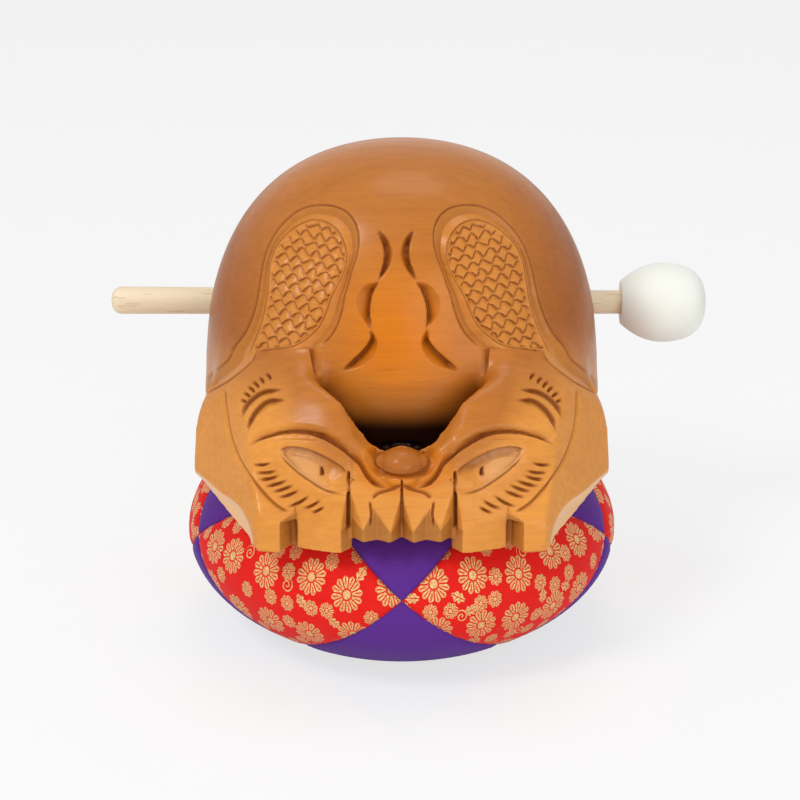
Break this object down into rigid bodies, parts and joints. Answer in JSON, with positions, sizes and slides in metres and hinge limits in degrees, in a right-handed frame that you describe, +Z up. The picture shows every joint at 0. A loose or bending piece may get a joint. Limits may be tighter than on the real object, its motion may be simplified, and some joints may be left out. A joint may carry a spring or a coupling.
{
  "type": "mokugyo",
  "caption": "Carved wooden slit drum with a pierced yoke handle, sitting on a round patchwork cushion, with a round-headed beater lying in its mouth.",
  "frame": {"origin": "on the table under the middle of the cushion", "axes": "+Z up, +X along the beater towards its head, -Y the side of the drum's handle, +Y the side of its mouth"},
  "size_m": [0.259, 0.1845, 0.206],
  "materials": {
    "carved_wood": "amber brown satin lacquer",
    "beech": "plain sanded pale wood",
    "pale_rubber": "matte pale green-white",
    "stuffing": "cotton wadding",
    "purple_cloth": "plain purple satin weave",
    "red_gold_brocade": "red brocade with gold flowers and scrolls"
  },
  "bodies": {
    "cushion": {"cushion_filling": "stuffing", "top_patch_1": "purple_cloth", "top_patch_2": "purple_cloth", "top_patch_3": "purple_cloth", "top_patch_4": "purple_cloth", "top_patch_5": "purple_cloth", "brocade_patch_1": "red_gold_brocade", "brocade_patch_2": "red_gold_brocade", "brocade_patch_3": "red_gold_brocade", "brocade_patch_4": "red_gold_brocade", "brocade_patch_5": "red_gold_brocade", "bottom_patch_1": "purple_cloth", "bottom_patch_2": "purple_cloth", "bottom_patch_3": "purple_cloth", "bottom_patch_4": "purple_cloth", "bottom_patch_5": "purple_cloth"},
    "drum": {"drum": "carved_wood"},
    "beater": {"beater_stick": "beech", "beater_head": "pale_rubber"}
  },
  "joints": [
    {"name": "drum_lift", "type": "slide", "parent": "cushion", "child": "drum", "axis": [0, 0, 1], "range_m": [0, 0.15]},
    {"name": "beater_draw", "type": "slide", "parent": "drum", "child": "beater", "axis": [1, 0, 0], "range_m": [0, 0.23]}
  ]
}
